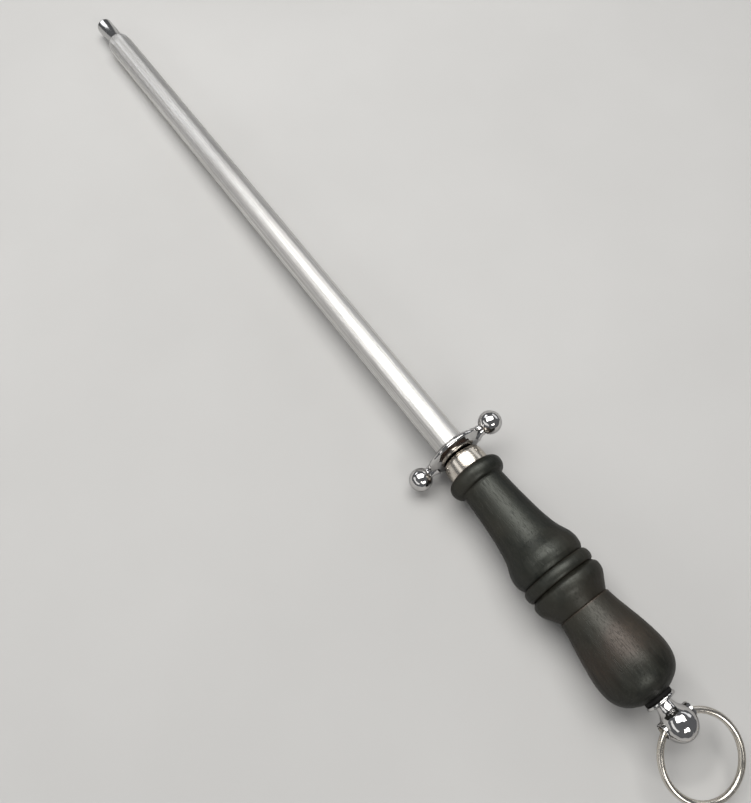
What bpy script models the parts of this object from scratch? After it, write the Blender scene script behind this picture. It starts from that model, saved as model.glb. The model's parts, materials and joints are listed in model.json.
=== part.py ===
"""Knife sharpening steel with a turned wooden handle and a swivelling hanging ring.

Frame: the origin is the centre of the nib's flat end, +X points out of it along the steel's
axis and +Z is up. The guard's two arms are a little off level, as the steel happens to lie, and
the ring's hole runs along Y. Units are metres. Positions along the axis are given from the
guard's front face, and main() moves the finished assembly to the tip.
"""

import math

import bmesh
import bpy
from mathutils import Matrix, Vector

# --- driving dimensions ------------------------------------------------------------------
ROD_RADIUS = 0.0060
ROD_LENGTH = 0.300
SHOULDER_START = 0.2775
NIB_START = 0.2845
NIB_RADIUS = 0.0040
NIB_EDGE_RADIUS = 0.0015
NIB_STEP = 0.0005
NIB_STEP_LENGTH = 0.0007
ROD_SEAT_DEPTH = 0.0012
TANG_RADIUS = 0.00325
TANG_END = -0.0936
THREAD_RADIUS = 0.0025
THREAD_END = -0.1076
THREAD_CHAMFER = 0.0005

GUARD_RADIUS = 0.0128
GUARD_THICKNESS = 0.0048
GUARD_FLAT_RADIUS = 0.0078
GUARD_RIM_RADIUS = 0.0009
KNOB_RADIUS = 0.0047
KNOB_REACH = 0.0174
KNOB_NECK_RADIUS = 0.0023
KNOB_FLARE = 0.0010
KNOB_FLARE_LENGTH = 0.0016
KNOB_ROOT_DEPTH = 0.0025
GUARD_TURN = math.radians(-20.0)

FERRULE_FRONT = -0.0050
FERRULE_REAR = -0.0122
FERRULE_WEB = 0.0010
FERRULE_BORE = 0.0076
FERRULE_CORNER = 0.0009
FERRULE_NOSE_CENTRE = (-0.0078, 0.0059)
FERRULE_NOSE_RADII = (0.0028, 0.0024)
FERRULE_SKIRT = ((-0.0096, 0.00845), (-0.0110, 0.00845), (FERRULE_REAR, 0.00835))

TENON_RADIUS = 0.0073
TENON_FRONT = -0.0063
TENON_CHAMFER = 0.0006
HANDLE_FACE = -0.0124
HANDLE_BUTT = -0.1120
BUTT_RADIUS = 0.0060
COLLAR_RADIUS = 0.0143
COUNTERBORE_RADIUS = 0.0049
COUNTERBORE_FLOOR = -0.0940

# The wood's turned shapes as (x, radius), from the ferrule to the butt.
BEAD_CENTRE_X = -0.0156
BEAD_RADIUS = 0.0116
BEAD_FRONT_RADII = (0.0032, 0.0032)
BEAD_BACK_RADII = (0.0038, 0.0026)
TRUMPET = ((-0.0200, 0.0089), (-0.0295, 0.0094), (-0.0405, 0.0105), (-0.0477, 0.0119),
           (-0.0522, 0.0137), (-0.0556, COLLAR_RADIUS), (-0.0583, 0.0139))
GROOVE_RADIUS = 0.0129
MIDDLE_COLLAR_X = -0.06245
MIDDLE_COLLAR_HALF_WIDTH = 0.0025
REAR_COLLAR = ((-0.0650, GROOVE_RADIUS), (-0.0663, 0.0141), (-0.0681, COLLAR_RADIUS),
               (-0.0704, 0.0137), (-0.0733, 0.0118), (-0.0760, 0.0101))
BULGE = ((-0.0763, 0.0105), (-0.0816, 0.0113), (-0.0881, 0.0127), (-0.0944, 0.0138),
         (-0.1002, COLLAR_RADIUS), (-0.1050, 0.0136), (-0.1083, 0.0118), (-0.1105, 0.0092),
         (HANDLE_BUTT, BUTT_RADIUS))

WASHER_BORE = 0.0028
TANG_WASHER_RADIUS = 0.0046
TANG_WASHER_THICKNESS = 0.0010
WASHER_BEVEL = 0.00015
SPRING_WASHER_RADIUS = 0.0045
SPRING_WASHER_WIRE = 0.0011
SPRING_WASHER_RISE = 0.0004
SPRING_WASHER_SPLIT = math.radians(14.0)
NUT_ACROSS_FLATS = 0.0080
NUT_HEIGHT = 0.0040
NUT_CHAMFER = 0.0005

BUTT_WASHER_BORE = 0.0046
BUTT_WASHER_RADIUS = 0.0053
BUTT_WASHER_THICKNESS = 0.0010

FLANGE_RADIUS = 0.0057
FLANGE_THICKNESS = 0.0015
BARREL_RADIUS = 0.0043
BARREL_FRONT = -0.1020
SOCKET_WALL = 0.0035

STUD_RADIUS = 0.00200
STUD_CLEARANCE = 0.00005
STUD_HEAD_RADIUS = 0.0025
STUD_HEAD_LENGTH = 0.0010
STUD_HEAD_CHAMFER = 0.0004
NECK_RADIUS = 0.0031
NECK_FLARE = ((0.0012, 0.0002), (0.0025, 0.0007), (0.0036, 0.0015))
BALL_RADIUS = 0.0062
BALL_CENTRE = -0.1229
HOLE_AXIS = -0.1217
BOSS_RADIUS = 0.0028
BOSS_REACH = 0.0064
BOSS_EDGE = 0.0002
RING_HOLE_RADIUS = 0.0021
RING_HOLE_MOUTH_RADIUS = 0.0026
RING_HOLE_MOUTH_DEPTH = 0.0016

RING_RADIUS = 0.0147
RING_WIRE_RADIUS = 0.0012
RING_TILT = math.radians(18.5)

GAP = 0.0003
SEAT_GAP = 0.0002
FINE_TURN = 36
SMALL_TURN = 24
SHARP_ANGLE = math.radians(32.0)

# Positions that follow from the sizes above.
GUARD_BACK = -GUARD_THICKNESS
GUARD_MIDDLE = -GUARD_THICKNESS / 2
BORE_RADIUS = TANG_RADIUS + GAP
BUTT_WASHER_FRONT = HANDLE_BUTT - SEAT_GAP
FLANGE_FRONT = BUTT_WASHER_FRONT - BUTT_WASHER_THICKNESS - SEAT_GAP
FLANGE_BACK = FLANGE_FRONT - FLANGE_THICKNESS
SOCKET_FLOOR = FLANGE_BACK + SOCKET_WALL
NECK_FRONT = FLANGE_BACK - GAP


# --- outline helpers ---------------------------------------------------------------------
def arc(centre, radii, start_deg, end_deg, steps):
    """Points (x, r) along an ellipse's arc; 0 degrees points to +X, 90 degrees outward."""
    points = []
    for i in range(steps + 1):
        angle = math.radians(start_deg + (end_deg - start_deg) * i / steps)
        points.append((centre[0] + radii[0] * math.cos(angle),
                       centre[1] + radii[1] * math.sin(angle)))
    return points


def flowing(points, steps):
    """Points along a Catmull-Rom curve through the given (x, r) points."""
    padded = [points[0]] + list(points) + [points[-1]]
    result = [points[0]]
    for p0, p1, p2, p3 in zip(padded, padded[1:], padded[2:], padded[3:]):
        for i in range(1, steps + 1):
            t = i / steps
            result.append(tuple(
                0.5 * (2 * b + (c - a) * t + (2 * a - 5 * b + 4 * c - d) * t * t
                       + (3 * b - a - 3 * c + d) * t ** 3)
                for a, b, c, d in zip(p0, p1, p2, p3)))
    return result


# --- object helpers ----------------------------------------------------------------------
def clear_scene():
    for obj in list(bpy.data.objects):
        bpy.data.objects.remove(obj, do_unlink=True)


def finish_material(name, colour, roughness, metallic):
    material = bpy.data.materials.new(name)
    material.use_nodes = True
    shader = material.node_tree.nodes["Principled BSDF"]
    shader.inputs["Base Color"].default_value = (*colour, 1.0)
    shader.inputs["Roughness"].default_value = roughness
    shader.inputs["Metallic"].default_value = metallic
    return material


def add_object(name, mesh_source, material):
    """Turn a bmesh into a linked object with smooth shading and its own material."""
    bmesh.ops.recalc_face_normals(mesh_source, faces=mesh_source.faces)
    mesh = bpy.data.meshes.new(name)
    mesh_source.to_mesh(mesh)
    mesh_source.free()
    mesh.shade_smooth()
    mesh.set_sharp_from_angle(angle=SHARP_ANGLE)
    mesh.materials.append(material)
    obj = bpy.data.objects.new(name, mesh)
    bpy.context.scene.collection.objects.link(obj)
    return obj


def lathe(profile, segments, closed):
    """Revolve (x, r) points about the X axis.

    A closed profile is a loop around a bore. An open one starts and ends on the axis.
    """
    bm = bmesh.new()
    rings = []
    for x, radius in profile:
        if radius <= 0.0:
            rings.append([bm.verts.new((x, 0.0, 0.0))])
            continue
        rings.append([bm.verts.new((x, radius * math.cos(2 * math.pi * k / segments),
                                    radius * math.sin(2 * math.pi * k / segments)))
                      for k in range(segments)])
    pairs = list(zip(rings, rings[1:]))
    if closed:
        pairs.append((rings[-1], rings[0]))
    for first, second in pairs:
        for k in range(segments):
            n = (k + 1) % segments
            corners = [first[k % len(first)], first[n % len(first)],
                       second[n % len(second)], second[k % len(second)]]
            bm.faces.new(list(dict.fromkeys(corners)))
    return bm


def turn_to_y(bm):
    """Turn a shape made along +X so that it runs along +Y."""
    bmesh.ops.rotate(bm, cent=(0, 0, 0), verts=bm.verts,
                     matrix=Matrix.Rotation(math.pi / 2, 3, "Z"))


def shift(bm, x):
    bmesh.ops.translate(bm, verts=bm.verts, vec=(x, 0.0, 0.0))


def helper(name, bm, material):
    """An operand of a Boolean: shown as a wire and left out of the model."""
    obj = add_object(name, bm, material)
    obj.hide_render = True
    obj.display_type = "WIRE"
    return obj


def boolean(target, operand, operation):
    modifier = target.modifiers.new(operand.name, "BOOLEAN")
    modifier.operation = operation
    modifier.solver = "EXACT"
    modifier.object = operand


# --- fixed pieces ------------------------------------------------------------------------
def build_sharpening_rod(material):
    """Rod, polished nib, shoulder, tang and threaded tail, turned from one bar."""
    edge_centre = ROD_LENGTH - NIB_EDGE_RADIUS
    nib_end = arc((edge_centre, NIB_RADIUS - NIB_EDGE_RADIUS),
                  (NIB_EDGE_RADIUS, NIB_EDGE_RADIUS), 0, 90, 4)
    step_radius = NIB_RADIUS + NIB_STEP
    shoulder_length = NIB_START - NIB_STEP_LENGTH - SHOULDER_START
    shoulder = arc((SHOULDER_START, step_radius), (shoulder_length, ROD_RADIUS - step_radius),
                   0, 90, 6)
    profile = [(ROD_LENGTH, 0.0)] + nib_end + [(NIB_START, NIB_RADIUS)] + shoulder
    profile += [
        (-ROD_SEAT_DEPTH + SEAT_GAP, ROD_RADIUS),
        (-ROD_SEAT_DEPTH + SEAT_GAP, TANG_RADIUS),
        (TANG_END, TANG_RADIUS),
        (TANG_END, THREAD_RADIUS),
        (THREAD_END + THREAD_CHAMFER, THREAD_RADIUS),
        (THREAD_END, THREAD_RADIUS - THREAD_CHAMFER),
        (THREAD_END, 0.0),
    ]
    return add_object("sharpening_rod", lathe(profile, FINE_TURN, closed=False), material)


def guard_disc_profile():
    """Lens-shaped disc with a rounded rim, a tang bore and a seat for the rod's shoulder."""
    rim_centre = GUARD_RADIUS - GUARD_RIM_RADIUS
    fall = GUARD_THICKNESS / 2 - GUARD_RIM_RADIUS
    span = rim_centre - GUARD_FLAT_RADIUS
    front = []
    for i in range(5):
        t = i / 5
        front.append((-fall * t * t, GUARD_FLAT_RADIUS + span * t))
    back = [(-GUARD_THICKNESS - x, r) for x, r in reversed(front)]
    rim = arc((GUARD_MIDDLE, rim_centre), (GUARD_RIM_RADIUS, GUARD_RIM_RADIUS), 20, 160, 6)
    seat_radius = ROD_RADIUS + GAP
    inside = [(GUARD_BACK, BORE_RADIUS), (-ROD_SEAT_DEPTH, BORE_RADIUS),
              (-ROD_SEAT_DEPTH, seat_radius), (0.0, seat_radius)]
    return front + rim + back + inside


def knob_profile():
    """Neck and ball of one arm, along +X from inside the disc to the ball's far side."""
    root = GUARD_RADIUS - KNOB_ROOT_DEPTH
    flare = [(root, 0.0), (root, KNOB_NECK_RADIUS + KNOB_FLARE),
             (root + KNOB_FLARE_LENGTH, KNOB_NECK_RADIUS + KNOB_FLARE / 3)]
    meeting = math.degrees(math.asin(KNOB_NECK_RADIUS / KNOB_RADIUS))
    ball = arc((KNOB_REACH, 0.0), (KNOB_RADIUS, KNOB_RADIUS), 180 - meeting, 0, 11)
    return flare + ball[:-1] + [(ball[-1][0], 0.0)]


def build_guard(material):
    guard = add_object("guard", lathe(guard_disc_profile(), FINE_TURN, closed=True), material)
    for label, side in (("left", 1), ("right", -1)):
        bm = lathe(knob_profile(), SMALL_TURN, closed=False)
        turn_to_y(bm)
        if side < 0:
            bmesh.ops.rotate(bm, cent=(0, 0, 0), verts=bm.verts,
                             matrix=Matrix.Rotation(math.pi, 3, "Z"))
        bmesh.ops.rotate(bm, cent=(0, 0, 0), verts=bm.verts,
                         matrix=Matrix.Rotation(GUARD_TURN, 3, "X"))
        shift(bm, GUARD_MIDDLE)
        boolean(guard, helper("knob_" + label, bm, material), "UNION")
    return guard


def build_ferrule(material):
    """Drawn cup: a front web around the tang and a skirt over the handle's tenon."""
    nose = arc(FERRULE_NOSE_CENTRE, FERRULE_NOSE_RADII, 6, 90, 6)
    profile = [(FERRULE_FRONT, BORE_RADIUS)] + nose + list(FERRULE_SKIRT)
    profile += [
        (FERRULE_REAR, FERRULE_BORE),
        (FERRULE_FRONT - FERRULE_WEB - FERRULE_CORNER, FERRULE_BORE),
        (FERRULE_FRONT - FERRULE_WEB, FERRULE_BORE - FERRULE_CORNER),
        (FERRULE_FRONT - FERRULE_WEB, BORE_RADIUS),
    ]
    return add_object("ferrule", lathe(profile, FINE_TURN, closed=True), material)


def handle_outline():
    """Outer outline of the turned wood, from the ferrule to the butt."""
    front_bead = arc((BEAD_CENTRE_X, BEAD_RADIUS - BEAD_FRONT_RADII[1]), BEAD_FRONT_RADII,
                     0, 90, 5)
    front_bead += arc((BEAD_CENTRE_X, BEAD_RADIUS - BEAD_BACK_RADII[1]), BEAD_BACK_RADII,
                      90, 172, 5)[1:]
    middle_collar = arc((MIDDLE_COLLAR_X, GROOVE_RADIUS),
                        (MIDDLE_COLLAR_HALF_WIDTH, COLLAR_RADIUS - GROOVE_RADIUS), 0, 180, 6)
    rear = flowing(REAR_COLLAR, 2)[1:] + flowing(BULGE, 2)
    return front_bead + flowing(TRUMPET, 2) + middle_collar + rear


def build_handle(material):
    bore = [
        (HANDLE_BUTT, COUNTERBORE_RADIUS),
        (COUNTERBORE_FLOOR, COUNTERBORE_RADIUS),
        (COUNTERBORE_FLOOR, BORE_RADIUS),
        (TENON_FRONT, BORE_RADIUS),
    ]
    tenon = [(TENON_FRONT, TENON_RADIUS - TENON_CHAMFER),
             (TENON_FRONT - TENON_CHAMFER, TENON_RADIUS), (HANDLE_FACE, TENON_RADIUS)]
    profile = tenon + handle_outline() + bore
    return add_object("handle", lathe(profile, FINE_TURN, closed=True), material)


# --- fastenings inside the butt ----------------------------------------------------------
def build_washer(name, front, thickness, bore, radius, material):
    profile = [
        (front, bore),
        (front, radius - WASHER_BEVEL),
        (front - WASHER_BEVEL, radius),
        (front - thickness + WASHER_BEVEL, radius),
        (front - thickness, radius - WASHER_BEVEL),
        (front - thickness, bore),
    ]
    return add_object(name, lathe(profile, SMALL_TURN, closed=True), material)


def build_spring_washer(front, material):
    """Split washer: a square wire wound once around the tang, with its ends apart."""
    steps = 28
    bm = bmesh.new()
    sections = []
    for i in range(steps + 1):
        angle = SPRING_WASHER_SPLIT / 2 + (2 * math.pi - SPRING_WASHER_SPLIT) * i / steps
        start = front - SPRING_WASHER_RISE * i / steps
        corners = []
        for x, radius in ((start, WASHER_BORE), (start, SPRING_WASHER_RADIUS),
                          (start - SPRING_WASHER_WIRE, SPRING_WASHER_RADIUS),
                          (start - SPRING_WASHER_WIRE, WASHER_BORE)):
            corners.append(bm.verts.new((x, radius * math.cos(angle),
                                         radius * math.sin(angle))))
        sections.append(corners)
    for first, second in zip(sections, sections[1:]):
        for k in range(4):
            n = (k + 1) % 4
            bm.faces.new((first[k], first[n], second[n], second[k]))
    bm.faces.new(sections[0])
    bm.faces.new(reversed(sections[-1]))
    return add_object("spring_washer", bm, material)


def build_tang_nut(front, material):
    """Hexagon nut whose corners are chamfered by the usual cone."""
    corner = NUT_ACROSS_FLATS / math.sqrt(3)
    bm = bmesh.new()
    outer, inner = [], []
    for x in (front, front - NUT_HEIGHT):
        outer.append([bm.verts.new((x, corner * math.cos(math.pi * k / 3),
                                    corner * math.sin(math.pi * k / 3))) for k in range(6)])
        inner.append([bm.verts.new((x, WASHER_BORE * math.cos(math.pi * k / 12),
                                    WASHER_BORE * math.sin(math.pi * k / 12)))
                      for k in range(24)])
    for ring_pair, count in ((outer, 6), (inner, 24)):
        for k in range(count):
            n = (k + 1) % count
            bm.faces.new((ring_pair[0][k], ring_pair[0][n], ring_pair[1][n], ring_pair[1][k]))
    for end in range(2):
        for k in range(6):
            hexagon = [outer[end][k], outer[end][(k + 1) % 6]]
            circle = [inner[end][(4 * (k + 1) - j) % 24] for j in range(5)]
            bm.faces.new(hexagon + circle)
    nut = add_object("tang_nut", bm, material)
    back = front - NUT_HEIGHT
    flat = NUT_ACROSS_FLATS / 2
    profile = [(front + GAP, 0.0), (front + GAP, flat - GAP),
               (front - NUT_CHAMFER, corner + GAP), (back + NUT_CHAMFER, corner + GAP),
               (back - GAP, flat - GAP), (back - GAP, 0.0)]
    envelope = helper("nut_envelope", lathe(profile, SMALL_TURN, closed=False), material)
    boolean(nut, envelope, "INTERSECT")
    return nut


def build_swivel_socket(material):
    """Flanged barrel: threaded on the tang's tail, with a bore for the swivel stud."""
    edge = FLANGE_THICKNESS / 2
    rim = arc((FLANGE_FRONT - edge, FLANGE_RADIUS - edge), (edge, edge), 30, 150, 4)
    stud_bore = STUD_RADIUS + STUD_CLEARANCE
    profile = [
        (BARREL_FRONT, WASHER_BORE),
        (BARREL_FRONT, BARREL_RADIUS),
        (FLANGE_FRONT, BARREL_RADIUS),
        (FLANGE_FRONT, FLANGE_RADIUS - edge),
    ] + rim + [
        (FLANGE_BACK, FLANGE_RADIUS - edge),
        (FLANGE_BACK, stud_bore),
        (SOCKET_FLOOR, stud_bore),
        (SOCKET_FLOOR, WASHER_BORE),
    ]
    return add_object("swivel_socket", lathe(profile, FINE_TURN, closed=True), material)


# --- moving pieces -----------------------------------------------------------------------
def swivel_profile():
    """Upset head, stud, flared neck and ball, from the socket's inside to the ball's end."""
    head_back = SOCKET_FLOOR + GAP
    head_front = head_back + STUD_HEAD_LENGTH
    neck = flowing([(NECK_FRONT, NECK_RADIUS)]
                   + [(NECK_FRONT - back, NECK_RADIUS + out) for back, out in NECK_FLARE], 2)
    meeting = math.degrees(math.asin(neck[-1][1] / BALL_RADIUS))
    ball = arc((BALL_CENTRE, 0.0), (BALL_RADIUS, BALL_RADIUS), meeting, 90, 4)
    ball += arc((BALL_CENTRE, 0.0), (BALL_RADIUS, BALL_RADIUS), 90, 180, 7)[1:]
    return [
        (head_front, 0.0),
        (head_front, STUD_HEAD_RADIUS - STUD_HEAD_CHAMFER),
        (head_front - STUD_HEAD_CHAMFER, STUD_HEAD_RADIUS),
        (head_back, STUD_HEAD_RADIUS),
        (head_back, STUD_RADIUS),
        (NECK_FRONT, STUD_RADIUS),
    ] + neck + ball[1:-1] + [(ball[-1][0], 0.0)]


def build_swivel_ball(material):
    ball = add_object("swivel_ball", lathe(swivel_profile(), FINE_TURN, closed=False), material)
    boss = [(-BOSS_REACH, 0.0), (-BOSS_REACH, BOSS_RADIUS - BOSS_EDGE),
            (-BOSS_REACH + BOSS_EDGE, BOSS_RADIUS), (BOSS_REACH - BOSS_EDGE, BOSS_RADIUS),
            (BOSS_REACH, BOSS_RADIUS - BOSS_EDGE), (BOSS_REACH, 0.0)]
    throat = BOSS_REACH - RING_HOLE_MOUTH_DEPTH
    mouth = BOSS_REACH + GAP
    hole = [(-mouth, 0.0), (-mouth, RING_HOLE_MOUTH_RADIUS), (-throat, RING_HOLE_RADIUS),
            (throat, RING_HOLE_RADIUS), (mouth, RING_HOLE_MOUTH_RADIUS), (mouth, 0.0)]
    for name, profile, operation in (("hole_bosses", boss, "UNION"),
                                     ("ring_hole", hole, "DIFFERENCE")):
        bm = lathe(profile, SMALL_TURN, closed=False)
        turn_to_y(bm)
        shift(bm, HOLE_AXIS)
        boolean(ball, helper(name, bm, material), operation)
    return ball


def ring_offset():
    """Distance from the hole's axis to the ring's centre, with the arc centred in the hole."""
    return (RING_RADIUS + math.sqrt(RING_RADIUS ** 2 - BOSS_REACH ** 2)) / 2


def build_hanging_ring(material):
    """Wire ring through the ball's hole; its origin is on the hole's axis, where it swings."""
    around, across = 56, 12
    bm = bmesh.new()
    loops = []
    for i in range(around):
        angle = 2 * math.pi * i / around
        loop = []
        for j in range(across):
            turn = 2 * math.pi * j / across
            radius = RING_RADIUS + RING_WIRE_RADIUS * math.cos(turn)
            loop.append(bm.verts.new((-ring_offset() + radius * math.cos(angle),
                                      radius * math.sin(angle),
                                      RING_WIRE_RADIUS * math.sin(turn))))
        loops.append(loop)
    for i in range(around):
        first, second = loops[i], loops[(i + 1) % around]
        for j in range(across):
            k = (j + 1) % across
            bm.faces.new((first[j], first[k], second[k], second[j]))
    ring = add_object("hanging_ring", bm, material)
    pivot = bpy.data.objects.new("ring_pivot", None)
    bpy.context.scene.collection.objects.link(pivot)
    pivot.location = Vector((HOLE_AXIS, 0.0, 0.0))
    pivot.rotation_euler = (0.0, -RING_TILT, 0.0)
    ring.parent = pivot
    return ring


# --- assembly ----------------------------------------------------------------------------
def move_to_tip():
    """Put the centre of the nib's flat end at the origin."""
    for obj in bpy.data.objects:
        if obj.parent is None:
            obj.location.x -= ROD_LENGTH


def main():
    clear_scene()
    build_sharpening_rod(finish_material("satin_steel", (0.62, 0.61, 0.59), 0.32, 1.0))
    build_guard(finish_material("chrome_guard", (0.80, 0.80, 0.80), 0.06, 1.0))
    build_ferrule(finish_material("satin_nickel", (0.72, 0.68, 0.61), 0.24, 1.0))
    build_handle(finish_material("black_stained_wood", (0.030, 0.028, 0.026), 0.42, 0.0))

    washer_front = COUNTERBORE_FLOOR - GAP
    zinc = finish_material("zinc_washer", (0.55, 0.56, 0.57), 0.35, 1.0)
    build_washer("tang_washer", washer_front, TANG_WASHER_THICKNESS, WASHER_BORE,
                 TANG_WASHER_RADIUS, zinc)
    spring_front = washer_front - TANG_WASHER_THICKNESS - GAP
    build_spring_washer(spring_front,
                        finish_material("spring_steel", (0.18, 0.18, 0.19), 0.40, 1.0))
    nut_front = spring_front - SPRING_WASHER_WIRE - SPRING_WASHER_RISE - GAP
    build_tang_nut(nut_front, finish_material("zinc_nut", (0.58, 0.58, 0.57), 0.33, 1.0))

    fibre = finish_material("black_fibre", (0.010, 0.010, 0.011), 0.7, 0.0)
    build_washer("butt_washer", BUTT_WASHER_FRONT, BUTT_WASHER_THICKNESS, BUTT_WASHER_BORE,
                 BUTT_WASHER_RADIUS, fibre)
    build_swivel_socket(finish_material("chrome_socket", (0.80, 0.80, 0.80), 0.06, 1.0))
    build_swivel_ball(finish_material("chrome_ball", (0.80, 0.80, 0.80), 0.06, 1.0))
    build_hanging_ring(finish_material("bright_nickel", (0.80, 0.76, 0.70), 0.12, 1.0))
    move_to_tip()


main()
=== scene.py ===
"""The looks of the knife sharpening steel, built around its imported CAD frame.

Everything is in metres in the row frame: the origin is at the tip, +X points out of it along
the axis, +Z is up and +Y runs along the guard's arms. The turned pieces take their outlines
from the CAD nodes.
"""

import json
import math

import bmesh
import bpy
import numpy as np
from mathutils import Matrix, Vector, noise


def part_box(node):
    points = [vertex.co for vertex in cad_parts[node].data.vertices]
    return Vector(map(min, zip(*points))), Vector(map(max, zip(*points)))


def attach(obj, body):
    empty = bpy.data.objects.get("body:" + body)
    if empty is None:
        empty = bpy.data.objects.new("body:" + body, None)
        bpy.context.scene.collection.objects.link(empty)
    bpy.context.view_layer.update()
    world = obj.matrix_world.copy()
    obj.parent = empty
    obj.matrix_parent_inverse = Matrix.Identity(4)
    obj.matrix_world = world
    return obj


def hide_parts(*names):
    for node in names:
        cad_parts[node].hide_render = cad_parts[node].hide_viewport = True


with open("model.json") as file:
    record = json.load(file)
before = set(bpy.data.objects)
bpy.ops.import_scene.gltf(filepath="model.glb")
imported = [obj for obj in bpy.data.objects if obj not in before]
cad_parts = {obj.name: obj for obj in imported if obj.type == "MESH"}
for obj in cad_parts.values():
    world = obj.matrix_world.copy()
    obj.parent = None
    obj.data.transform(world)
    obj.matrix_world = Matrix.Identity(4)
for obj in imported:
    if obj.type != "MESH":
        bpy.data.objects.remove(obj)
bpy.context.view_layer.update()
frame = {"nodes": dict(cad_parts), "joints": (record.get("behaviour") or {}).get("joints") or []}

MM = 0.001
TOUCH = 0.002 * MM  # points closer than this are the same

# Outlines that turn by more than CORNER keep the corner, round ones are cut into FACET steps,
# and edges that turn by more than SHARP are shaded sharp.
CORNER = math.radians(33.0)
FACET = math.radians(4.0)
SHARP = math.radians(38.0)

# The CAD leaves a little more than this between clamped pieces. The looks close it.
SEAT_GAP = 0.19 * MM

# Ribs on the shank: they are on radii above RIB_FROM of the rod's, and reach their full depth
# RIB_FADE of it farther out. Ribs and thread stop END_CLEARANCE before the nib and the tang.
RIB_COUNT = 96
RIB_DEPTH = 0.11 * MM
RIB_FROM = 0.68
RIB_FADE = 0.2
END_CLEARANCE = 0.3 * MM
THREAD_PITCH = 0.8 * MM
THREAD_DEPTH = 0.35 * MM

# Shares of the rod's radius between which only the nib's step and only the thread lie.
NIB_STEP_SHARES = (0.70, 0.80)
THREAD_SHARES = (0.40, 0.45)

# Guard: the neck's share of the knob's radius, how deep in the disc its root is, and how much
# wider it is there.
KNOB_NECK = 0.49
ARM_ROOT = 3.0 * MM
ARM_FLARE = 0.9 * MM

# Wood: it is uneven and worn only beyond this radius.
WOOD_CORE = 7.6 * MM
UNEVENNESS = 0.05 * MM

# Small knocks in the wood: share of the handle's length from its face, angle from +Z
# towards +Y, and size. They are narrower around the handle than along it.
DENTS = ((0.30, -0.78, 0.9 * MM), (0.30, 0.10, 0.6 * MM), (0.72, 0.55, 0.7 * MM),
         (0.88, -0.30, 0.8 * MM), (0.47, 2.60, 0.9 * MM), (0.81, 3.60, 1.0 * MM))
DENT_DEPTH = 0.16 * MM
DENT_NARROWING = 1.8

# Where the palm lies, as a share of the handle's length from its face, and how far it reaches.
PALM_SHARE = 0.76
PALM_REACH = 24.0 * MM

# How convex an edge is before it wears, how fast it wears beyond that, and the worn lip at the
# ferrule.
EDGE_START = 0.045
EDGE_GAIN = 9
LIP_SETBACK = 0.2 * MM
LIP_WIDTH = 0.7 * MM
LIP_LIMIT = 0.7

# Cross hole in the ball: its radius, the rounding of its bosses, and the depth of its mouths.
HOLE_RADIUS = 2.1 * MM
BOSS_ROUNDING = 0.2 * MM
MOUTH_DEPTH = 1.6 * MM

# Where the ring's wire meets its own end, as an angle around the ring, and the groove there:
# its width as an angle and its depth as a share of the wire's radius.
RING_JOINT = math.radians(152.0)
JOINT_WIDTH = 0.0022
JOINT_DEPTH = 0.16
JOINT_STEP = 0.0016

# Segments around each kind of round piece.
ROD_SEGMENTS = 5 * RIB_COUNT
DISC_SEGMENTS = 160
KNOB_SEGMENTS = 72
TURNED_SEGMENTS = 144
WOOD_SEGMENTS = 192
WASHER_SEGMENTS = 96
RING_SEGMENTS = 168
WIRE_SEGMENTS = 28

# The floor touches the steel somewhere behind this point and somewhere ahead of it.
BALANCE_AHEAD_OF_GUARD = 100.0 * MM

FLOOR_SIZE = 3.0
CAMERA_HEADING = math.radians(-35.4)
CAMERA_PITCH = math.radians(64.5)
CAMERA_DISTANCE = 0.3167
CAMERA_LENS = 35.4
AIM_AHEAD_OF_GUARD = 33.3 * MM
AIM_TOWARDS_LEFT_ARM = 12.6 * MM


# --- reading the frame -------------------------------------------------------------------
def meridian(node):
    """A turned node's outline: (x, r) points in order, where it crosses the axis's +Z side."""
    mesh = frame["nodes"][node].data
    points = {v.index: (round(v.co.x, 6), round(abs(v.co.z), 6)) for v in mesh.vertices
              if abs(v.co.y) < TOUCH and v.co.z > -TOUCH}
    links = {}
    for edge in mesh.edges:
        a, b = (points.get(i) for i in edge.vertices)
        if a and b and a != b:
            links.setdefault(a, set()).add(b)
            links.setdefault(b, set()).add(a)
    ends = [p for p in links if len(links[p]) == 1]
    path = [max(ends or links)]
    previous = None
    while True:
        onward = [p for p in sorted(links[path[-1]]) if p != previous]
        if not onward or (onward[0] == path[0] and len(path) > 2):
            break
        previous = path[-1]
        path.append(onward[0])
    if ends:
        path = [(path[0][0], 0.0)] * (path[0][1] > 0) + path
        path += [(path[-1][0], 0.0)] * (path[-1][1] > 0)
    return [Vector(p) for p in path]


def guard_face():
    """Where the axis meets the guard's front face."""
    return max(p.x for p in meridian("guard"))


def joint(name):
    return next(j for j in frame["joints"] if j["name"] == name)


def turning(first, second):
    return first.angle(second, 0.0)


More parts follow.
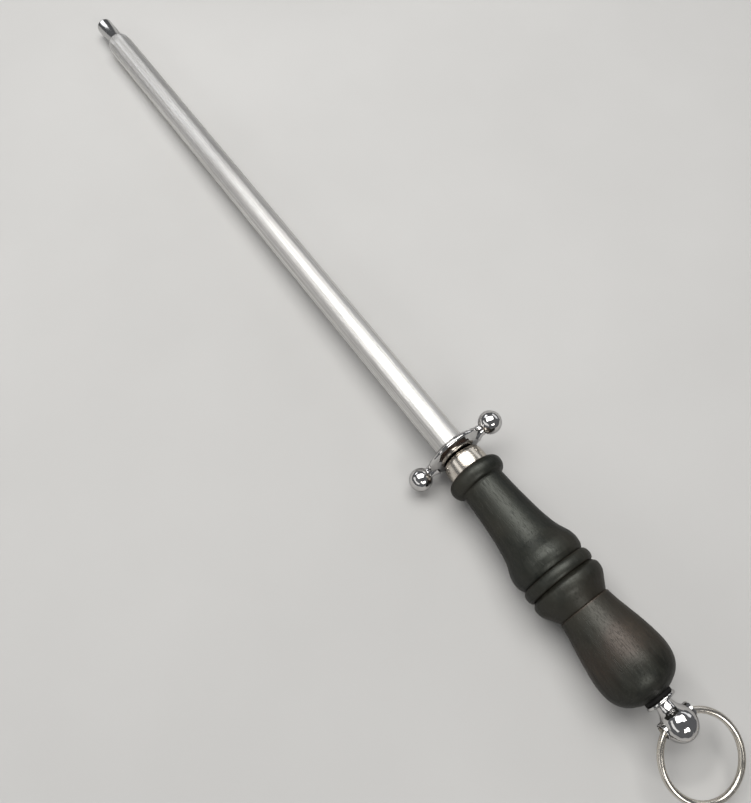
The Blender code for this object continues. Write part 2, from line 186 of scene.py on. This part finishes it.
def smoothed(points, closed):
    """The outline with its round stretches made smooth, and its corners left sharp.

    It stays within the CAD outline's extent.
    """
    count = len(points)
    low_x, high_x = min(p.x for p in points), max(p.x for p in points)
    high_r = max(p.y for p in points)
    spans = count if closed else count - 1
    chords = [(points[(i + 1) % count] - points[i]) for i in range(spans)]
    tangents = []
    for i in range(count):
        if not closed and i in (0, count - 1):
            tangents.append(None)
            continue
        before, after = chords[i - 1], chords[i]
        rounded = turning(before, after) < CORNER
        tangents.append((before + after).normalized() if rounded else None)
    result = []
    for i, chord in enumerate(chords):
        start, end = tangents[i], tangents[(i + 1) % count]
        along = chord.normalized()
        if start is None and end is None:
            start = end = along
        elif start is None:
            start = 2 * end.dot(along) * along - end
        elif end is None:
            end = 2 * start.dot(along) * along - start
        pieces = max(1, math.ceil(turning(start, end) / FACET))
        for step in range(pieces):
            t = step / pieces
            hermite = ((2 * t ** 3 - 3 * t * t + 1) * points[i]
                       + (t ** 3 - 2 * t * t + t) * chord.length * start
                       + (3 * t * t - 2 * t ** 3) * points[(i + 1) % count]
                       + (t ** 3 - t * t) * chord.length * end)
            result.append(Vector((min(high_x, max(low_x, hermite.x)),
                                  min(high_r, max(0.0, hermite.y)))))
    if not closed:
        result.append(points[-1].copy())
    return result


def divided(points, low, high, step, closed=False):
    """More points where the outline's outer side runs between x = low and high."""
    result = []
    last = len(points) if closed else len(points) - 1
    for i in range(last):
        a, b = points[i], points[(i + 1) % len(points)]
        inside = low <= min(a.x, b.x) + TOUCH and max(a.x, b.x) <= high + TOUCH
        pieces = max(1, math.ceil((b - a).length / step)) if inside else 1
        result += [a.lerp(b, k / pieces) for k in range(pieces)]
    return result if closed else result + [points[-1]]


# --- meshes ------------------------------------------------------------------------------
def new_piece(name, bm, sharp=SHARP):
    bmesh.ops.recalc_face_normals(bm, faces=bm.faces)
    mesh = bpy.data.meshes.new(name)
    bm.to_mesh(mesh)
    bm.free()
    mesh.shade_smooth()
    mesh.set_sharp_from_angle(angle=sharp)
    piece = bpy.data.objects.new(name, mesh)
    bpy.context.scene.collection.objects.link(piece)
    return piece


def lathe(outline, segments, closed, relief=None):
    """Revolves (x, r) points about the X axis; relief(x, angle, r) gives a point's radius."""
    bm = bmesh.new()
    rings = []
    for point in outline:
        if point.y < TOUCH:
            rings.append([bm.verts.new((point.x, 0.0, 0.0))])
            continue
        ring = []
        for k in range(segments):
            angle = 2 * math.pi * k / segments
            radius = relief(point.x, angle, point.y) if relief else point.y
            ring.append(bm.verts.new((point.x, radius * math.cos(angle),
                                      radius * math.sin(angle))))
        rings.append(ring)
    pairs = list(zip(rings, rings[1:])) + ([(rings[-1], rings[0])] if closed else [])
    for first, second in pairs:
        for k in range(segments):
            n = (k + 1) % segments
            corners = [first[k % len(first)], first[n % len(first)],
                       second[n % len(second)], second[k % len(second)]]
            bm.faces.new(list(dict.fromkeys(corners)))
    return bm


def arc(centre, radius, start_deg, end_deg, steps):
    angles = [math.radians(start_deg + (end_deg - start_deg) * i / steps)
              for i in range(steps + 1)]
    return [Vector((centre + radius * math.cos(a), radius * math.sin(a))) for a in angles]


def along_y(bm, x, side=1):
    """Turns a shape made along +X to run along +Y or -Y, and moves it to x."""
    bmesh.ops.rotate(bm, cent=(0, 0, 0), verts=bm.verts,
                     matrix=Matrix.Rotation(side * math.pi / 2, 3, "Z"))
    bmesh.ops.translate(bm, verts=bm.verts, vec=(x, 0.0, 0.0))


def combined(piece, operands):
    """The piece with each (bmesh, operation) applied to it as an exact Boolean."""
    helpers = []
    for bm, operation in operands:
        helper = new_piece("operand", bm)
        helpers.append(helper)
        modifier = piece.modifiers.new("cut", "BOOLEAN")
        modifier.operation = operation
        modifier.solver = "EXACT"
        modifier.object = helper
    bpy.context.view_layer.update()
    evaluated = piece.evaluated_get(bpy.context.evaluated_depsgraph_get())
    mesh = bpy.data.meshes.new_from_object(evaluated)
    piece.modifiers.clear()
    piece.data = mesh
    mesh.shade_smooth()
    mesh.set_sharp_from_angle(angle=SHARP)
    for helper in helpers:
        bpy.data.objects.remove(helper)
    return piece


# --- node materials ----------------------------------------------------------------------
class Finish:
    """A material under construction: its node tree with short ways to add to it."""

    def __init__(self, name):
        self.material = bpy.data.materials.new(name)
        self.material.use_nodes = True
        self.tree = self.material.node_tree
        self.shader = self.tree.nodes["Principled BSDF"]
        self.place = self.add("ShaderNodeTexCoord").outputs["Object"]

    def add(self, kind, inputs=None, **settings):
        node = self.tree.nodes.new(kind)
        for key, value in settings.items():
            setattr(node, key, value)
        for key, value in (inputs or {}).items():
            self.put(node.inputs[key], value)
        return node

    def put(self, socket, value):
        if isinstance(value, bpy.types.NodeSocket):
            self.tree.links.new(value, socket)
        else:
            socket.default_value = value

    def set(self, **values):
        for key, value in values.items():
            self.put(self.shader.inputs[key.replace("_", " ")], value)

    def noise(self, scale, stretch=(1, 1, 1), detail=3.0, roughness=0.55):
        mapping = self.add("ShaderNodeMapping", {"Vector": self.place, "Scale": stretch})
        return self.add("ShaderNodeTexNoise", {
            "Vector": mapping.outputs["Vector"], "Scale": scale, "Detail": detail,
            "Roughness": roughness}).outputs["Fac"]

    def span(self, value, low, high, to_low, to_high):
        return self.add("ShaderNodeMapRange", {
            "Value": value, "From Min": low, "From Max": high,
            "To Min": to_low, "To Max": to_high}).outputs["Result"]

    def mix(self, factor, first, second):
        node = self.add("ShaderNodeMix", data_type="RGBA")
        for socket, value in zip((node.inputs[0], node.inputs[6], node.inputs[7]),
                                 (factor, first, second)):
            self.put(socket, value)
        return node.outputs[2]

    def math(self, operation, first, second):
        return self.add("ShaderNodeMath", {0: first, 1: second},
                        operation=operation).outputs["Value"]

    def axis(self, name):
        return self.add("ShaderNodeSeparateXYZ", {0: self.place}).outputs[name]

    def crevices(self, distance, low, high):
        """Ambient-occlusion mask for painted shade: 1 in narrow gaps and inner corners, 0 in the
        open.
        """
        node = self.add("ShaderNodeAmbientOcclusion", {"Distance": distance}, samples=6)
        return self.span(node.outputs["AO"], low, high, 1.0, 0.0)

    def metal(self, light, dark, cloud, crevice_shade=0.45):
        """Mottled metal with shade painted into its crevices, which also darkens at its grazing
        edges.
        """
        clean = self.mix(cloud, light, dark)
        # Painted shade: the base colour turns dark brown where ambient occlusion finds gaps and
        # inner corners.
        painted_shade = self.math("MULTIPLY", self.crevices(0.6 * MM, 0.25, 0.55), crevice_shade)
        self.set(Base_Color=self.mix(painted_shade, clean, rgb(0.050, 0.045, 0.040)), Metallic=1.0,
                 Specular_Tint=rgb(0.50, 0.50, 0.51))

    def bump(self, height, distance, strength=1.0, normal=None):
        inputs = {"Height": height, "Distance": distance, "Strength": strength}
        if normal:
            inputs["Normal"] = normal
        return self.add("ShaderNodeBump", inputs).outputs["Normal"]


def rgb(r, g, b):
    return (r, g, b, 1.0)


def ribbed_steel(nib_start):
    """Satin steel with lengthwise drawing lines, turning to a polished nib."""
    f = Finish("ribbed_steel")
    lines = f.noise(1.0, (9, 3200, 3200), 2.0)
    bands = f.noise(1.0, (5, 850, 850), 3.0)
    smudge = f.noise(90.0, (0.25, 1, 1), 4.0)
    nib = f.span(f.axis("X"), nib_start - 0.2 * MM, nib_start + 0.2 * MM, 0.0, 1.0)
    tone = f.math("ADD", f.math("MULTIPLY", lines, 0.5), bands)
    tone = f.math("ADD", tone, f.math("MULTIPLY", smudge, 0.4))
    satin = f.mix(f.span(tone, 0.72, 1.16, 0.0, 1.0), rgb(0.50, 0.49, 0.475),
                  rgb(0.86, 0.85, 0.83))
    f.set(Base_Color=f.mix(nib, satin, rgb(0.50, 0.50, 0.49)), Metallic=1.0,
          Specular_Tint=rgb(0.9, 0.9, 0.9))
    rough = f.span(f.math("ADD", bands, smudge), 0.7, 1.3, 0.50, 0.34)
    polished = f.span(smudge, 0.3, 0.7, 0.10, 0.19)
    blend = f.add("ShaderNodeMix", data_type="FLOAT")
    for socket, value in zip(blend.inputs[:1] + blend.inputs[2:4], (nib, rough, polished)):
        f.put(socket, value)
    scored = f.bump(bands, 0.020 * MM, 0.5)
    f.set(Roughness=blend.outputs[0], Normal=f.bump(lines, 0.010 * MM, 0.6, scored))
    return f.material


def chrome(name):
    """Bright plating over a wavy cast surface, with faint wiping marks."""
    f = Finish(name)
    wave = f.noise(170.0, detail=1.0)
    dimple = f.noise(520.0, detail=1.0)
    wipe = f.noise(900.0, (0.15, 1, 1), 2.0)
    cloud = f.noise(420.0, detail=5.0)
    # crevice_shade sets how strongly shade is painted into the crevices.
    f.metal(rgb(0.66, 0.65, 0.64), rgb(0.54, 0.53, 0.52), f.span(cloud, 0.35, 0.75, 0, 1),
            crevice_shade=0.25)
    f.set(Roughness=f.span(f.math("ADD", wipe, cloud), 0.8, 1.3, 0.03, 0.09))
    f.set(Normal=f.bump(wave, 0.55 * MM, 0.8, f.bump(dimple, 0.22 * MM, 0.6)))
    return f.material


def satin_nickel():
    """Warm nickel with fine turning lines around the ferrule."""
    f = Finish("satin_nickel")
    rings = f.noise(1.0, (2600, 30, 30), 2.0)
    cloud = f.noise(260.0, detail=4.0)
    # crevice_shade sets how strongly shade is painted into the crevices.
    f.metal(rgb(0.74, 0.69, 0.62), rgb(0.60, 0.55, 0.48), f.span(cloud, 0.35, 0.7, 0, 1),
            crevice_shade=0.12)
    f.set(Roughness=f.span(f.math("ADD", rings, cloud), 0.7, 1.3, 0.18, 0.30))
    f.set(Normal=f.bump(rings, 0.006 * MM, 0.3))
    return f.material


def stained_wood():
    """Black-stained turned beech: pores along the grain, a semi-matt coat, worn edges.

    It reflects less where it turns away from the camera, and browner where it's rubbed.
    """
    f = Finish("stained_wood")
    grain = f.noise(1.0, (55, 820, 820), 5.0, 0.6)
    pores = f.noise(1.0, (120, 2600, 2600), 3.0, 0.65)
    cloud = f.noise(48.0, detail=4.0)
    turned = f.noise(1.0, (2400, 12, 12), 2.0)
    wear = f.add("ShaderNodeAttribute", attribute_name="wear").outputs["Fac"]
    lip = f.add("ShaderNodeAttribute", attribute_name="lip").outputs["Fac"]
    stain = f.mix(f.span(grain, 0.32, 0.68, 0.0, 1.0), rgb(0.0032, 0.0036, 0.0028),
                  rgb(0.0135, 0.0142, 0.0105))
    faded = f.mix(f.span(cloud, 0.42, 0.72, 0.0, 0.75), stain, rgb(0.027, 0.0235, 0.0170))
    rubbed = f.math("MULTIPLY", wear, f.span(pores, 0.35, 0.62, 0.15, 0.6))
    brown = f.mix(rubbed, faded, rgb(0.090, 0.061, 0.042))
    f.set(Base_Color=f.mix(lip, brown, rgb(0.088, 0.042, 0.032)))
    f.set(Roughness=f.span(f.math("ADD", grain, cloud), 0.75, 1.3, 0.38, 0.52))
    away = f.add("ShaderNodeLayerWeight", {"Blend": 0.5}).outputs["Facing"]
    f.set(Specular_IOR_Level=f.span(away, 0.06, 0.55, 0.60, 0.10),
          Specular_Tint=f.mix(f.span(wear, 0.05, 0.40, 0.0, 1.0), rgb(0.96, 1.0, 0.91),
                              rgb(1.0, 0.90, 0.83)))
    f.set(Coat_Weight=0.04, Coat_Roughness=0.30)
    pitted = f.bump(f.span(pores, 0.30, 0.44, 0.0, 1.0), 0.07 * MM, 0.6)
    ridged = f.bump(grain, 0.10 * MM, 0.5, pitted)
    f.set(Normal=f.bump(turned, 0.02 * MM, 0.3, ridged))
    return f.material


def black_fibre():
    """Dull pressed fibre with paler flecks."""
    f = Finish("black_fibre")
    flecks = f.noise(2600.0, detail=4.0)
    f.set(Base_Color=f.mix(flecks, rgb(0.003, 0.003, 0.003), rgb(0.010, 0.009, 0.009)))
    f.set(Roughness=f.span(flecks, 0.3, 0.7, 0.66, 0.86), Specular_IOR_Level=0.25)
    f.set(Normal=f.bump(flecks, 0.03 * MM, 0.7))
    return f.material


def nickel_wire():
    """Bright nickel-plated wire with faint drawing marks."""
    f = Finish("nickel_wire")
    drawn = f.noise(700.0)
    cloud = f.noise(150.0, detail=4.0)
    f.metal(rgb(0.76, 0.72, 0.65), rgb(0.60, 0.56, 0.49), f.span(cloud, 0.35, 0.7, 0, 1))
    f.set(Roughness=f.span(drawn, 0.3, 0.75, 0.16, 0.30))
    f.set(Normal=f.bump(drawn, 0.015 * MM, 0.4))
    return f.material


def plated_hardware(name, light, dark, rough):
    """Barrel-plated steel of the hidden nut and washers: mottled, with tumbling marks."""
    f = Finish(name)
    mottle = f.noise(900.0, detail=5.0)
    marks = f.noise(2400.0, (1, 0.2, 1), 2.0)
    f.metal(rgb(*light), rgb(*dark), f.span(mottle, 0.3, 0.7, 0.0, 1.0))
    f.set(Roughness=f.span(f.math("ADD", mottle, marks), 0.7, 1.3, rough, rough + 0.18))
    f.set(Normal=f.bump(marks, 0.02 * MM, 0.5))
    return f.material


# --- pieces ------------------------------------------------------------------------------
def dress(piece, body, node, material):
    """Gives the piece its finish, and puts it on its body in place of the CAD node."""
    piece.data.materials.clear()
    piece.data.materials.append(material)
    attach(piece, body)
    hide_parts(node)


def rod_relief(face, nib_start, tail_start, tail_end):
    """Ribs along the shank, rubbed down in places, and a thread on the tail."""
    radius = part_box("sharpening_rod")[1].z

    def relief(x, angle, r):
        if face + TOUCH < x < nib_start - END_CLEARANCE and r > RIB_FROM * radius:
            fade = min(1.0, (r / radius - RIB_FROM) / RIB_FADE)
            rub = noise.noise(Vector((x * 60, 9 * math.cos(angle), 9 * math.sin(angle))))
            depth = RIB_DEPTH * min(1.0, max(0.2, 0.65 + 0.7 * rub))
            return r - fade * depth * (0.5 - 0.5 * math.cos(RIB_COUNT * angle))
        if tail_end < x < tail_start:
            turn = (x / THREAD_PITCH + angle / (2 * math.pi)) % 1.0
            return r - THREAD_DEPTH * abs(2 * turn - 1)
        return r

    return relief


def build_rod():
    outline = meridian("sharpening_rod")
    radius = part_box("sharpening_rod")[1].z
    low, high = (share * radius for share in NIB_STEP_SHARES)
    nib_start = max(p.x for p in outline if low < p.y < high)
    face = guard_face()
    low, high = (share * radius for share in THREAD_SHARES)
    tail = [p.x for p in outline if p.x < face and low < p.y < high]
    fine = smoothed(outline, closed=False)
    fine = divided(fine, face, nib_start, 4.0 * MM)
    fine = divided(fine, min(tail), max(tail), THREAD_PITCH / 8)
    relief = rod_relief(face, nib_start, max(tail) - END_CLEARANCE, min(tail))
    piece = new_piece("ribbed_rod", lathe(fine, ROD_SEGMENTS, False, relief))
    dress(piece, "grip", "sharpening_rod", ribbed_steel(nib_start))


def build_guard():
    """The lens-shaped disc with a necked ball on each side, as one casting."""
    low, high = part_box("guard")
    ball = (high.x - low.x) / 2
    tips = [v.co for v in frame["nodes"]["guard"].data.vertices if v.co.y > 0]
    tip = max(tips, key=lambda co: math.hypot(co.y, co.z))
    turn = math.atan2(tip.z, tip.y)
    reach = math.hypot(tip.y, tip.z) - ball
    ball = min(ball, high.y - reach * math.cos(turn))
    disc_outline = meridian("guard")
    disc_radius = max(p.y for p in disc_outline)
    neck = KNOB_NECK * ball
    meeting = 180 - math.degrees(math.asin(neck / ball))
    root = disc_radius - ARM_ROOT
    flare = [Vector((root + ARM_ROOT * t, neck + ARM_FLARE * (1 - t) ** 2))
             for t in (i / 8 for i in range(9))]
    knob = [Vector((root, 0.0))] + flare + arc(reach, ball, meeting, 0, 40)
    knob[-1].y = 0.0
    disc = lathe(smoothed(disc_outline, closed=True), DISC_SEGMENTS, True)
    middle = (low.x + high.x) / 2
    operands = []
    for side in (1, -1):
        bm = lathe(knob, KNOB_SEGMENTS, False)
        along_y(bm, middle, side)
        bmesh.ops.rotate(bm, cent=(0, 0, 0), verts=bm.verts,
                         matrix=Matrix.Rotation(turn, 3, "X"))
        operands.append((bm, "UNION"))
    piece = combined(new_piece("guard_casting", disc), operands)
    dress(piece, "grip", "guard", chrome("chrome_guard_finish"))


def reaching(outline, old, new):
    """The outline with its face at x = old brought to x = new, to close a seat."""
    return [Vector((new, p.y)) if abs(p.x - old) < TOUCH else p for p in outline]


def build_ferrule():
    """The cup, brought up to the back of the guard."""
    outline = smoothed(meridian("ferrule"), closed=True)
    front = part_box("ferrule")[1].x
    outline = reaching(outline, front, front + SEAT_GAP)
    piece = new_piece("ferrule_cup", lathe(outline, TURNED_SEGMENTS, True))
    dress(piece, "grip", "ferrule", satin_nickel())


def handle_relief(face, butt):
    """Hand-sanded unevenness and a few dents on the outer surface of the wood."""

    def relief(x, angle, r):
        if r < WOOD_CORE or x > face - TOUCH:
            return r
        around = Vector((x * 45, 1.3 * math.cos(angle), 1.3 * math.sin(angle)))
        r -= UNEVENNESS * (0.5 + 0.5 * noise.noise(around))
        lean = math.pi / 2 - angle
        for share, where, size in DENTS:
            gap = (lean - where + math.pi) % (2 * math.pi) - math.pi
            far = math.hypot(x - (face + share * (butt - face)), DENT_NARROWING * gap * r)
            r -= DENT_DEPTH * math.exp(-(far / size) ** 2)
        return r

    return relief


def held_wear(co, palm):
    """How far the palm has rubbed the stain: in patches, fading out along the handle."""
    return 0.6 * max(0.0, 1 - abs(co.x - palm) / PALM_REACH) * (0.6 + noise.noise(co * 70))


def mark_wear(piece, face, butt):
    """Stores where the stain is rubbed: on raised edges, where the palm holds it, and on the
    lip at the ferrule."""
    mesh = piece.data
    palm = face + PALM_SHARE * (butt - face)
    bm = bmesh.new()
    bm.from_mesh(mesh)
    wear, lip = [], []
    for v in bm.verts:
        outer = math.hypot(v.co.y, v.co.z) > WOOD_CORE
        spread = [(e.other_vert(v).co - v.co).normalized().dot(v.normal)
                  for e in v.link_edges]
        raised = -sum(spread) / len(spread)
        patch = 0.5 + 0.5 * noise.noise(v.co * 140)
        edge = max(0.0, min(1.0, (raised - EDGE_START) * EDGE_GAIN))
        wear.append(outer * min(1.0, patch * edge + held_wear(v.co, palm)))
        near = max(0.0, 1 - abs(v.co.x - face + LIP_SETBACK) / LIP_WIDTH)
        lip.append(outer * min(LIP_LIMIT, near * (0.1 + patch)))
    bm.free()
    for name, values in (("wear", wear), ("lip", lip)):
        attribute = mesh.attributes.new(name, "FLOAT", "POINT")
        attribute.data.foreach_set("value", np.array(values, np.float32))


def build_handle():
    outline = meridian("handle")
    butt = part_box("handle")[0].x
    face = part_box("ferrule")[0].x
    fine = divided(smoothed(outline, closed=True), butt, face, 0.6 * MM, closed=True)
    bm = lathe(fine, WOOD_SEGMENTS, True, handle_relief(face, butt))
    piece = new_piece("turned_handle", bm)
    mark_wear(piece, face, butt)
    dress(piece, "grip", "handle", stained_wood())


def build_butt_washer():
    """A flat washer with rounded rims, from the wood to the flange."""
    low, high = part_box("butt_washer")
    low.x -= SEAT_GAP
    high.x += SEAT_GAP
    bore = min(p.y for p in meridian("butt_washer"))
    edge = 0.2 * MM
    outline = [Vector((high.x, bore))]
    outline += [Vector((high.x - edge + edge * math.sin(t), high.z - edge + edge * math.cos(t)))
                for t in (math.radians(a) for a in range(90, -1, -18))]
    outline += [Vector((low.x + edge - edge * math.sin(t), high.z - edge + edge * math.cos(t)))
                for t in (math.radians(a) for a in range(0, 91, 18))]
    outline += [Vector((low.x, bore))]
    piece = new_piece("fibre_washer", lathe(outline, WASHER_SEGMENTS, True))
    dress(piece, "grip", "butt_washer", black_fibre())


def build_socket():
    outline = smoothed(meridian("swivel_socket"), closed=True)
    piece = new_piece("flanged_socket", lathe(outline, TURNED_SEGMENTS, True))
    dress(piece, "grip", "swivel_socket", chrome("chrome_socket_finish"))


def build_swivel_ball():
    """Neck and ball turned in one, with raised mouths around the cross hole."""
    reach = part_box("swivel_ball")[1].y
    centre = joint("ring_swing")["pos_m"][0]
    ends = [math.hypot(v.co.x - centre, v.co.z)
            for v in frame["nodes"]["swivel_ball"].data.vertices if v.co.y > reach - TOUCH]
    soft = BOSS_ROUNDING
    rim = max(ends) + soft
    flare = min(ends)
    half = [Vector((0.0, rim)), Vector((reach - soft, rim))]
    half += [Vector((reach - soft + soft * math.sin(t), rim - soft + soft * math.cos(t)))
             for t in (math.radians(a) for a in range(15, 91, 15))]
    half += [Vector((reach, 0.0))]
    boss = [Vector((-p.x, p.y)) for p in reversed(half[1:])] + half[1:]
    mouth = [Vector((reach - MOUTH_DEPTH, HOLE_RADIUS)),
             Vector((reach - 0.6 * MM, HOLE_RADIUS + 0.12 * MM)),
             Vector((reach + 0.1 * MM, flare)), Vector((reach + 0.6 * MM, flare)),
             Vector((reach + 0.6 * MM, 0.0))]
    bore = [Vector((-p.x, p.y)) for p in reversed(mouth)] + mouth
    operands = []
    for profile, operation in ((boss, "UNION"), (bore, "DIFFERENCE")):
        bm = lathe(profile, KNOB_SEGMENTS, False)
        along_y(bm, centre)
        operands.append((bm, operation))
    body = lathe(smoothed(meridian("swivel_ball"), closed=False), TURNED_SEGMENTS, False)
    piece = combined(new_piece("drilled_ball", body), operands)
    dress(piece, "swivel_head", "swivel_ball", chrome("chrome_ball_finish"))


def build_ring():
    """Round wire bent to a ring, with its butt joint beside the ball."""
    co = np.array([v.co for v in frame["nodes"]["hanging_ring"].data.vertices])
    centre = (co.min(0) + co.max(0)) / 2
    normal = np.linalg.svd(co - co.mean(0), full_matrices=False)[2][2]
    normal *= np.sign(normal[2])
    distances = np.linalg.norm(co - centre, axis=1)
    radius = (distances.max() + distances.min()) / 2
    wire = (distances.max() - distances.min()) / 2
    aside = np.array([0.0, 1.0, 0.0])
    ahead = np.cross(aside, normal)
    steps = sorted([2 * math.pi * i / RING_SEGMENTS for i in range(RING_SEGMENTS)]
                   + [RING_JOINT + JOINT_STEP * k for k in (-3, -2, -1, 0, 1, 2, 3)])
    bm = bmesh.new()
    loops = []
    for angle in steps:
        groove = JOINT_DEPTH * math.exp(-((angle - RING_JOINT) / JOINT_WIDTH) ** 2)
        outward = math.cos(angle) * ahead + math.sin(angle) * aside
        loops.append([bm.verts.new(centre + outward * radius
                                   + wire * (1 - groove) * (math.cos(turn) * outward
                                                            + math.sin(turn) * normal))
                      for turn in (2 * math.pi * j / WIRE_SEGMENTS
                                   for j in range(WIRE_SEGMENTS))])
    for first, second in zip(loops, loops[1:] + loops[:1]):
        for j in range(WIRE_SEGMENTS):
            k = (j + 1) % WIRE_SEGMENTS
            bm.faces.new((first[j], first[k], second[k], second[j]))
    piece = new_piece("wire_ring", bm)
    dress(piece, "ring", "hanging_ring", nickel_wire())


def dress_hidden_hardware():
    """The nut and washers inside the butt stay as the CAD made them, with their own finish."""
    zinc = plated_hardware("zinc_plate", (0.66, 0.67, 0.69), (0.46, 0.47, 0.50), 0.26)
    spring = plated_hardware("blued_spring_steel", (0.13, 0.14, 0.17), (0.06, 0.06, 0.07), 0.30)
    for name, material in (("tang_washer", zinc), ("tang_nut", zinc), ("spring_washer", spring)):
        mesh = frame["nodes"][name].data
        mesh.materials.clear()
        mesh.materials.append(material)


# --- stage -------------------------------------------------------------------------------
def resting_line():
    """(height at x = 0, slope) of the floor that the steel lies on.

    The floor touches the lowest points on both sides of the balance point, and clears the rest.
    """
    lowest = {}
    for name in ("handle", "guard", "sharpening_rod"):
        for v in frame["nodes"][name].data.vertices:
            key = round(v.co.x, 4)
            lowest[key] = min(lowest.get(key, 1.0), v.co.z)
    balance = guard_face() + BALANCE_AHEAD_OF_GUARD
    behind = [p for p in lowest.items() if p[0] < balance]
    ahead = [p for p in lowest.items() if p[0] >= balance]
    slope = height = None
    for bx, bz in behind:
        for ax, az in ahead:
            trial = (az - bz) / (ax - bx)
            if all(z > bz + trial * (x - bx) - TOUCH for x, z in lowest.items()):
                slope, height = trial, bz - trial * bx
    return height, slope


def floor_material():
    f = Finish("pale_floor")
    cloud = f.noise(6.0, detail=4.0)
    tooth = f.noise(900.0, detail=3.0)
    f.set(Base_Color=f.mix(f.span(cloud, 0.3, 0.7, 0.0, 1.0), rgb(0.50, 0.495, 0.485),
                           rgb(0.54, 0.535, 0.525)))
    f.set(Roughness=0.72, Specular_IOR_Level=0.25)
    f.set(Normal=f.bump(tooth, 0.05 * MM, 0.15))
    return f.material


def build_floor(height, slope):
    bm = bmesh.new()
    bmesh.ops.create_grid(bm, x_segments=1, y_segments=1, size=FLOOR_SIZE / 2)
    floor = new_piece("floor", bm)
    middle = guard_face()
    floor.location = (middle, 0.0, height + slope * middle)
    floor.rotation_euler = (0.0, -math.atan(slope), 0.0)
    floor.data.materials.append(floor_material())


def aim(obj, target):
    direction = Vector(target) - obj.location
    obj.rotation_euler = direction.to_track_quat("-Z", "Y").to_euler()


def softbox(name, place, target, size, power, tint):
    light = bpy.data.lights.new(name, "AREA")
    light.shape = "RECTANGLE"
    light.size, light.size_y = size
    light.energy = power
    light.color = tint
    obj = bpy.data.objects.new(name, light)
    bpy.context.scene.collection.objects.link(obj)
    obj.location = place
    aim(obj, target)


# Softboxes: place and aim, both from where the axis meets the guard, then size, power, tint.
SOFTBOXES = (
    ("overhead", (0.30, -0.06, 0.90), (0.20, -0.02, 0.0), (1.05, 0.66), 9.6, (1.0, 0.99, 0.97)),
    ("left", (0.10, 0.85, 0.50), (0.10, 0.0, 0.0), (1.50, 0.30), 1.4, (1.0, 0.99, 0.97)),
    ("right", (0.20, -0.95, 0.45), (0.05, 0.0, 0.0), (0.90, 0.30), 0.9, (0.97, 0.98, 1.0)),
    ("rear", (-0.95, 0.12, 0.70), (-0.10, 0.0, 0.0), (0.50, 0.40), 3.4, (1.0, 0.98, 0.95)),
    ("front", (1.20, 0.10, 0.62), (0.20, 0.0, 0.0), (0.60, 0.40), 1.8, (0.97, 0.98, 1.0)),
)


def build_lights():
    """A tent of soft boxes around the steel, with darker gaps between them for the chrome.

    The world lights little, but looks pale where the camera sees it past the floor.
    """
    guard = Vector((guard_face(), 0.0, 0.0))
    for name, place, target, size, power, tint in SOFTBOXES:
        softbox(name, guard + Vector(place), guard + Vector(target), size, power, tint)
    world = bpy.data.worlds.new("studio")
    bpy.context.scene.world = world
    world.use_nodes = True
    nodes, links = world.node_tree.nodes, world.node_tree.links
    nodes["Background"].inputs["Color"].default_value = rgb(0.84, 0.86, 0.90)
    seen = nodes.new("ShaderNodeMapRange")
    seen.inputs["To Min"].default_value = 0.17
    seen.inputs["To Max"].default_value = 0.48
    links.new(nodes.new("ShaderNodeLightPath").outputs["Is Camera Ray"], seen.inputs["Value"])
    links.new(seen.outputs["Result"], nodes["Background"].inputs["Strength"])
    bpy.context.scene.view_settings.view_transform = "Standard"


def build_camera(slope):
    """From above, over the handle's left side, and level with the floor."""
    tilt = math.atan(slope)
    up = Vector((-math.sin(tilt), 0.0, math.cos(tilt)))
    level_x = Vector((math.cos(tilt), 0.0, math.sin(tilt)))
    level = math.cos(CAMERA_HEADING) * level_x + math.sin(CAMERA_HEADING) * Vector((0, 1, 0))
    forward = math.cos(CAMERA_PITCH) * level - math.sin(CAMERA_PITCH) * up
    right = forward.cross(up).normalized()
    target = Vector((guard_face() + AIM_AHEAD_OF_GUARD, AIM_TOWARDS_LEFT_ARM, 0.0))
    camera = bpy.data.objects.new("camera", bpy.data.cameras.new("camera"))
    bpy.context.scene.collection.objects.link(camera)
    turn = Matrix((right, right.cross(forward), -forward)).transposed()
    camera.matrix_world = Matrix.Translation(target - CAMERA_DISTANCE * forward) @ turn.to_4x4()
    camera.data.lens = CAMERA_LENS
    camera.data.clip_start = 0.01
    bpy.context.scene.camera = camera


def main():
    build_rod()
    build_guard()
    build_ferrule()
    build_handle()
    build_butt_washer()
    build_socket()
    build_swivel_ball()
    build_ring()
    dress_hidden_hardware()
    height, slope = resting_line()
    build_floor(height, slope)
    build_lights()
    build_camera(slope)


main()
